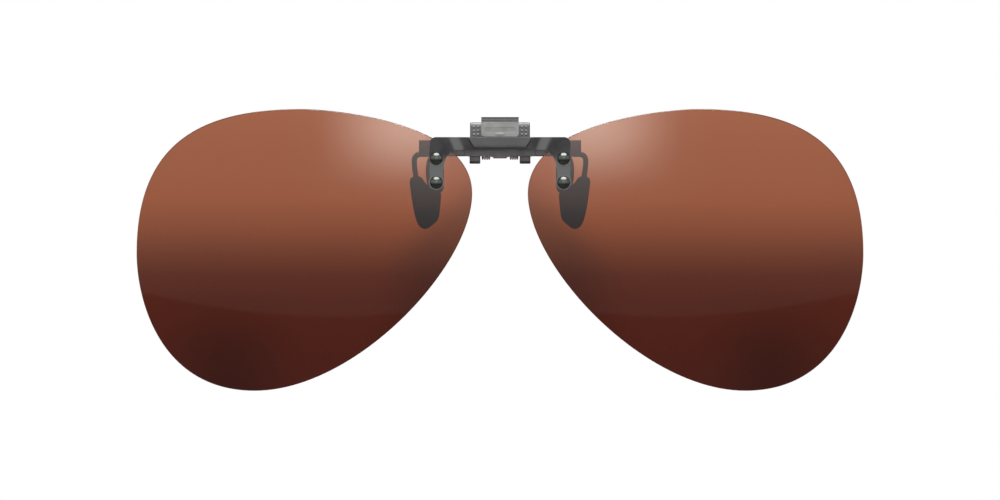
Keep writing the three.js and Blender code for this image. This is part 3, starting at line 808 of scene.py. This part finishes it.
def rivet(side_name, level):
    """Domed head with a straight rim, shank, and a flatter set head behind."""
    node = f"lens_rivet_{side_name}_{level}"
    low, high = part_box(node)
    sizes = {name: size * MM for name, size in RIVET.items()}
    head, rim, edge, tail_radius = sizes["head"], sizes["rim"], sizes["edge"], sizes["tail_radius"]
    radius = (high.x - low.x) / 2
    seat = low.y + head
    end = high.y - sizes["tail"]
    profile = [(r, seat - rim - y) for r, y in dome(radius, head - rim, steps=14)]
    profile += [(radius, seat - edge), (radius - edge, seat)]
    profile += [(sizes["shank"], seat), (sizes["shank"], end)]
    profile += [(tail_radius - edge, end), (tail_radius, end + edge)]
    tail = [(r, end + 2 * edge + y) for r, y in dome(tail_radius, sizes["tail"] - 2 * edge, steps=8)]
    profile += reversed(tail)
    centre = Vector(((low.x + high.x) / 2, 0, (low.z + high.z) / 2))
    piece = lathe_y(f"fine_{node}", profile, centre)
    smooth(piece, angle=40)
    return place(piece, node)


def swept(name, points, radius, resolution=5):
    """A round wire with closed ends along the points."""
    curve = bpy.data.curves.new(name, "CURVE")
    curve.dimensions = "3D"
    curve.bevel_depth = radius
    curve.bevel_resolution = resolution
    curve.use_fill_caps = True
    spline = curve.splines.new("POLY")
    spline.points.add(len(points) - 1)
    for item, point in zip(spline.points, points):
        item.co = (*point, 1.0)
    holder = add_object(name, curve)
    bpy.context.view_layer.update()
    mesh = bpy.data.meshes.new_from_object(holder.evaluated_get(bpy.context.evaluated_depsgraph_get()))
    bpy.data.objects.remove(holder)
    bm = bmesh.new()
    bm.from_mesh(mesh)
    bmesh.ops.remove_doubles(bm, verts=bm.verts, dist=TINY)
    bmesh.ops.recalc_face_normals(bm, faces=bm.faces)
    return object_from(name, bm)


# The claw wire's bend starts at the shoulder. The leg is straight down to the knee, and then leans in by
# way of the turn toward the foot.
CLAW = {"bend": 1.1, "shoulder": 14.35, "knee": 5.6, "turn": (14.6, 3.4), "foot": (13.9, 0.3)}


def claw_wire(end, side_name):
    """The wire leaves its groove under the bar, bends down and runs on into the pad."""
    node = f"claw_wire_{end}_{side_name}"
    side = SIDES[side_name]
    low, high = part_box(node)
    y = (low.y + high.y) / 2
    radius = (high.y - low.y) / 2
    seat = (high.z - radius) / MM
    start = min(abs(low.x), abs(high.x)) / MM
    shoulder, bend = CLAW["shoulder"], CLAW["bend"]
    straight = 6
    route = [(start + (shoulder - start) * i / straight, seat) for i in range(straight)]
    route += arc((shoulder, seat - bend), bend, 90, 0, steps=12)
    leg = [(shoulder + bend, seat - bend), (shoulder + bend, CLAW["knee"]), CLAW["turn"], CLAW["foot"]]
    route += list(cubic(leg, steps=20))[1:]
    points = [Vector((side * x * MM, y, z * MM)) for x, z in route]
    piece = swept(f"fine_{node}", points, radius)
    smooth(piece, angle=50)
    return place(piece, node)


SPRING = {"wire": 0.15, "radius": 0.95, "inner": 1.84, "outer": 3.2, "turns": 3.5, "leg_top": 11.4}
SPRING_GRID = {"turn": 40, "leg": 8, "round": 4}
AXLE_Z = centre_mm("clamp_axle")[2] * MM


def spring_route(side, splay):
    """Points of the spring's wire: the front leg down to the axle, the coil, and the rear leg up."""
    radius, inner, outer = (SPRING[name] * MM for name in ("radius", "inner", "outer"))
    rise = SPRING["leg_top"] * MM - AXLE_Z
    shares = [i / SPRING_GRID["leg"] for i in range(SPRING_GRID["leg"] + 1)]
    front = [Vector((side * inner, -radius - splay * s, AXLE_Z + rise * s)) for s in reversed(shares)]
    rear = [Vector((side * outer, radius + splay * s, AXLE_Z + rise * s)) for s in shares]
    coil = []
    steps = int(SPRING["turns"] * SPRING_GRID["turn"])
    for i in range(steps + 1):
        share = i / steps
        a = math.pi + share * SPRING["turns"] * 2 * math.pi
        x = side * (inner + (outer - inner) * share)
        coil.append(Vector((x, radius * math.cos(a), AXLE_Z + radius * math.sin(a))))
    return front[:-1] + coil + rear[1:]


def torsion_spring(side_name):
    """A coil round the axle between two legs, built at rest. On the real clip its turns wind up as the rear
    lever moves.
    """
    side = SIDES[side_name]
    node = f"torsion_spring_{side_name}"
    wire = SPRING["wire"] * MM
    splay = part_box(node)[1].y - wire - SPRING["radius"] * MM
    piece = swept(f"fine_{node}", spring_route(side, splay), wire, resolution=SPRING_GRID["round"])
    smooth(piece, angle=60)
    piece.data.materials.append(FINISHES["spring_steel"])
    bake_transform(piece)
    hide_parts(node)
    return piece


# ------------------------------------------------------------------ the lens bar

PIN = {"y": centre_mm("flip_hinge_pin")[1], "z": centre_mm("flip_hinge_pin")[2], "hole": 0.45}
# The sheet's middle part: its height, its wall, how far the wall's back lies ahead of the pin's axis, and
# the arch in its lower edge.
BAR = {
    "bottom": 10.08,
    "top": round(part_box("lens_bar")[1].z / MM, 3),
    "wall": 0.55,
    "ahead": 0.9,
    "arch_span": 8.0,
    "arch_rise": 0.34,
}
# A tongue: half its width, the radius of its end, its cut outer corner, and the curve of its inner edge.
TONGUE = {
    "half_width": 1.2,
    "end": 1.42,
    "chamfer": 1.0,
    "pull": 0.15,
    "root": 6.6,
    "swell": 0.35,
    "swell_z": 9.3,
    "heel": 0.5,
}
COVER = {"half_top": 5.76, "half_bottom": 4.59, "bottom": 10.57, "rise": 0.3, "overlap": 0.1}
GROOVE = {"width": 0.26, "depth": 0.25, "overlap": 0.02, "past_top": 0.5}
BARREL = {"flat": 0.92, "corner": 0.45, "spans": [(-3.2, 3.2), (-5.75, -4.55), (4.55, 5.75)], "bore": 6}
BAR_FRONT = PIN["y"] - BAR["ahead"] - BAR["wall"]


def bar_half():
    """The sheet's outline on its right-hand half, from the top round to the middle of the arch."""
    x, _, z = centre_mm("lens_rivet_right_lower")
    outer, inner = x + TONGUE["half_width"], x - TONGUE["half_width"]
    top, bottom = BAR["top"], BAR["bottom"]
    chamfer, pull = TONGUE["chamfer"], TONGUE["pull"]
    corner = [(outer - chamfer, top), (outer - pull, top - pull), (outer, top - chamfer)]
    points = [corner[0], *quadratic(*corner, steps=8)]
    spread = math.degrees(math.acos(TONGUE["half_width"] / TONGUE["end"]))
    points += arc((x, z), TONGUE["end"], spread, -180 - spread, steps=36)
    root = (inner, TONGUE["root"])
    swell = (inner - TONGUE["swell"], TONGUE["swell_z"])
    points += [root, *quadratic(root, swell, (JOG["outer"] - TONGUE["heel"], bottom), steps=12)]
    span, steps = BAR["arch_span"], 24
    for i in range(steps + 1):
        across = span * (1 - i / steps)
        points.append((across, bottom + BAR["arch_rise"] * (1 - (across / span) ** 2)))
    return points


def bar_sheet():
    """The bar, its arms and tongues as one sheet, folded forward at each jog."""
    half = bar_half()
    mirrored = [(-x, z) for x, z in reversed(half[:-1])]
    sheet = slab_y("fine_lens_bar", half + mirrored, 0, BAR["wall"])
    bm = bmesh.new()
    bm.from_mesh(sheet.data)
    level, skew = JOG["level"], JOG["skew"]
    for x in (-JOG["outer"], -JOG["inner"], JOG["inner"], JOG["outer"]):
        fold = {"plane_co": (x * MM, 0, level * MM), "plane_no": (1, 0, -math.copysign(skew, x))}
        bmesh.ops.bisect_plane(bm, geom=[*bm.verts, *bm.edges, *bm.faces], dist=TINY, **fold)
    tongue_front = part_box("lens_bar")[0].y
    wall_front = BAR_FRONT * MM
    for vertex in bm.verts:
        across = abs(vertex.co.x) / MM - skew * (vertex.co.z / MM - level)
        along = (across - JOG["inner"]) / (JOG["outer"] - JOG["inner"])
        vertex.co.y += wall_front + (tongue_front - wall_front) * min(1.0, max(0.0, along))
    bm.to_mesh(sheet.data)
    bm.free()
    return sheet


def barrel_section():
    """The hinge barrel's section in Y and Z: flat in front, round behind."""
    y, z, flat, corner = PIN["y"], PIN["z"], BARREL["flat"], BARREL["corner"]
    inside = flat - corner
    return [
        (y - flat, z - flat),
        *arc((y + inside, z - inside), corner, -90, 0, steps=8),
        *arc((y + inside, z + inside), corner, 0, 90, steps=8),
        (y - flat, z + flat),
    ]


def cover_groove(side):
    """A shallow strip cut beside the cover's slanting edge, from a little past the bar's top."""
    rise = BAR["top"] - COVER["bottom"] + GROOVE["past_top"]
    slope = (COVER["half_top"] - COVER["half_bottom"]) / (BAR["top"] - COVER["bottom"])
    top = (COVER["half_bottom"] + rise * slope, COVER["bottom"] + rise)
    edge = [top, (COVER["half_bottom"], COVER["bottom"])]
    inner = [(side * (x - GROOVE["overlap"]), z) for x, z in edge]
    outer = [(side * (x + GROOVE["width"]), z) for x, z in reversed(edge)]
    return slab_y("groove", inner + outer, BAR_FRONT - GROOVE["overlap"], BAR_FRONT + GROOVE["depth"])


def lens_bar():
    """The sheet with its raised cover, the two grooves, and the barrel with the pin's hole."""
    sheet = bar_sheet()
    top, bottom = COVER["half_top"], COVER["half_bottom"]
    cover = [(-top, BAR["top"]), (top, BAR["top"]), (bottom, COVER["bottom"]), (-bottom, COVER["bottom"])]
    raised = slab_y("cover", cover, BAR_FRONT - COVER["rise"], BAR_FRONT + COVER["overlap"])
    combine(sheet, "UNION", raised)
    combine(sheet, "DIFFERENCE", *[cover_groove(side) for side in SIDES.values()])
    section = barrel_section()
    combine(sheet, "UNION", *[slab_x("barrel", section, *span) for span in BARREL["spans"]])
    hole = list(circle((PIN["y"], PIN["z"]), PIN["hole"], sides=32))
    combine(sheet, "DIFFERENCE", slab_x("hole", hole, -BARREL["bore"], BARREL["bore"]))
    return place(rounded(whole_faces(sheet), width=0.07), "lens_bar")


# ------------------------------------------------------------------ pads

# The thumb pad's front wall by Y, and the grip sunk into it: its depth, half width, height and corners.
THUMB = {"wall": -2.88, "depth": 0.07, "half": 2.8, "bottom": 13.35, "top": 14.25, "corner": 0.3}
# How far the tool that cuts the grip reaches out of the wall.
GRIP_CLEARANCE = 1.0
# How finely a grip pad is divided, and how far its corners flow round.
PAD_FLOW = {"voxel": 0.11, "factor": 0.5, "rounds": 6}


def thumb_pad():
    """The pressed cap, with a shallow sunken grip across its front above the nub."""
    cap = cad_shape("thumb_pad")
    grip = rounded_rectangle(-THUMB["half"], THUMB["half"], THUMB["bottom"], THUMB["top"], THUMB["corner"])
    cutter = slab_y("grip", list(grip), THUMB["wall"] - GRIP_CLEARANCE, THUMB["wall"] + THUMB["depth"])
    combine(cap, "DIFFERENCE", cutter)
    return place(rounded(whole_faces(cap), width=0.05), "thumb_pad")


def grip_pad(end, side_name):
    """A moulded pad: the CAD shape with its corners flowed round."""
    node = f"grip_pad_{end}_{side_name}"
    piece = cad_shape(node)
    remesh = piece.modifiers.new("even", "REMESH")
    remesh.mode = "VOXEL"
    remesh.voxel_size = PAD_FLOW["voxel"] * MM
    flow = piece.modifiers.new("flow", "SMOOTH")
    flow.factor = PAD_FLOW["factor"]
    flow.iterations = PAD_FLOW["rounds"]
    baked(piece)
    smooth(piece, angle=80)
    return place(piece, node)


# ------------------------------------------------------------------ stage, light and camera

FLOOR = {"drop": 0.085, "radius": 1.6, "sides": 96}
PHOTO_WIDTH = 0.18
CAMERA = {"lens": 650.0, "far": 20.0}
# What reflections see. Each row holds where a step starts and ends along the direction's X, Y or Z, and
# where it has four numbers, the strengths there.
REFLECTED = {
    "front": (-0.1, -0.6),
    "wall_foot": (-0.26, 0.0, 0.16, 0.92),
    "wall_head": (0.3, 0.7, 1.0, 0.3),
    "table": (-0.004, 0.004, 0.0, 0.14),
    "below": (-0.42, -0.6, 0.0, 0.15),
    "glow_rise": (-0.12, 0.11),
    "glow_fall": (0.32, 0.14),
    "glow_across": (0.32, 0.0, 0.0, 1.5),
}
# The table's far edge: its lowest level, how far across that is, and how fast it climbs from there.
TABLE_EDGE = {"level": -0.291, "across": 0.19, "climb": 0.4}


def pale_floor():
    """Matt floor with a faint mottle."""
    tree, position = material("pale_floor")
    mottle = tree.noise(position, scale=14.0, detail=3.0)
    inputs = {
        "Base Color": tree.mix(mottle, (0.80, 0.80, 0.79), (0.84, 0.84, 0.83)),
        "Roughness": tree.varied(mottle, 0.75, 0.85),
    }
    return surface(tree, inputs)


def floor():
    """A disc below the part, which reflections don't show."""
    bm = bmesh.new()
    bmesh.ops.create_circle(bm, cap_ends=True, segments=FLOOR["sides"], radius=FLOOR["radius"])
    piece = object_from("floor", bm)
    piece.location.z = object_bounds()[0].z - FLOOR["drop"]
    piece.data.materials.append(pale_floor())
    piece.visible_glossy = False
    piece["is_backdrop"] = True


def area_light(name, centre, size, power):
    """An elliptic light that faces the origin."""
    light = bpy.data.lights.new(name, "AREA")
    light.shape = "ELLIPSE"
    light.size, light.size_y = size
    light.energy = power
    made = add_object(name, light)
    made.location = centre
    made.rotation_euler = (-Vector(centre)).to_track_quat("-Z", "Y").to_euler()
    return made


def lights():
    """One light high in front for the highlights, and one over the floor that reflections don't show."""
    overhead = area_light("overhead", centre=(0.0, -0.42, 0.70), size=(0.9, 0.8), power=16.0)
    overhead.visible_diffuse = False
    wash = area_light("floor_wash", centre=(0.0, 0.0, 1.0), size=(1.2, 1.2), power=5.5)
    wash.visible_glossy = False


def reflected(tree, parts):
    """How bright a reflected direction is: a wall, a table's curved edge, the floor and a glow in front."""
    across = tree.math("ABSOLUTE", parts["X"])
    up = parts["Z"]
    front = tree.ease(parts["Y"], *REFLECTED["front"])
    wall = tree.times(tree.ease(up, *REFLECTED["wall_foot"]), tree.ease(up, *REFLECTED["wall_head"]))
    bend = tree.math("POWER", tree.minus(across, TABLE_EDGE["across"]), 2.0)
    edge = tree.add(tree.times(bend, TABLE_EDGE["climb"]), TABLE_EDGE["level"])
    table = tree.times(tree.ease(tree.minus(up, edge), *REFLECTED["table"]), front)
    below = tree.ease(up, *REFLECTED["below"])
    height = tree.times(tree.ease(up, *REFLECTED["glow_rise"]), tree.ease(up, *REFLECTED["glow_fall"]))
    glow = tree.times(height, tree.ease(across, *REFLECTED["glow_across"]), front)
    return tree.add(tree.add(wall, table), tree.add(below, glow))


def studio():
    """Plain white to the eye and through the lenses. Reflections see a bright wall over a dark floor."""
    world = bpy.data.worlds.new("studio")
    bpy.context.scene.world = world
    tree = Tree(world)
    parts = tree.parts(tree.node("ShaderNodeTexCoord").outputs["Generated"])
    rays = tree.node("ShaderNodeLightPath").outputs
    seen = tree.most(rays["Is Camera Ray"], rays["Is Transmission Ray"])
    strengths = {"Factor": seen, "A": reflected(tree, parts), "B": 1.0}
    shown = tree.node("ShaderNodeMix", strengths, data_type="FLOAT")
    white = {"Color": (1.0, 1.0, 1.0, 1.0), "Strength": shown.outputs["Result"]}
    background = tree.node("ShaderNodeBackground", white)
    tree.node("ShaderNodeOutputWorld", {"Surface": background.outputs[0]})


def camera():
    """Straight at the front, as far off as makes the lenses' plane as wide as the photograph shows."""
    data = bpy.data.cameras.new("camera")
    data.lens = CAMERA["lens"]
    data.clip_end = CAMERA["far"]
    made = add_object("camera", data)
    distance = PHOTO_WIDTH * CAMERA["lens"] / data.sensor_width
    low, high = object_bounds()
    made.location = (0.0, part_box("lens_right")[0].y - distance, (low.z + high.z) / 2)
    made.rotation_euler = (math.pi / 2, 0.0, 0.0)
    bpy.context.scene.camera = made


# ------------------------------------------------------------------ the whole object and its stage

for side in SIDES:
    lens(side)
for side in SIDES:
    for level in LEVELS:
        rivet(side, level)
for side in SIDES:
    for end in ENDS:
        claw_wire(end, side)
for side in SIDES:
    torsion_spring(side)
lens_bar()
clamp("front_clamp")
clamp("rear_clamp")
softened("clamp_axle", width=0.04)
softened("flip_hinge_pin", width=0.05)
softened("detent_leaf_spring", width=0.03, segments=2)
for side in SIDES:
    softened(f"backing_plate_{side}", width=0.05)
    for level in LEVELS:
        softened(f"lens_bush_{side}_{level}", width=0.03, segments=2)
thumb_pad()
for side in SIDES:
    for end in ENDS:
        grip_pad(end, side)

floor()
studio()
lights()
camera()
bpy.context.scene.view_settings.view_transform = "Standard"
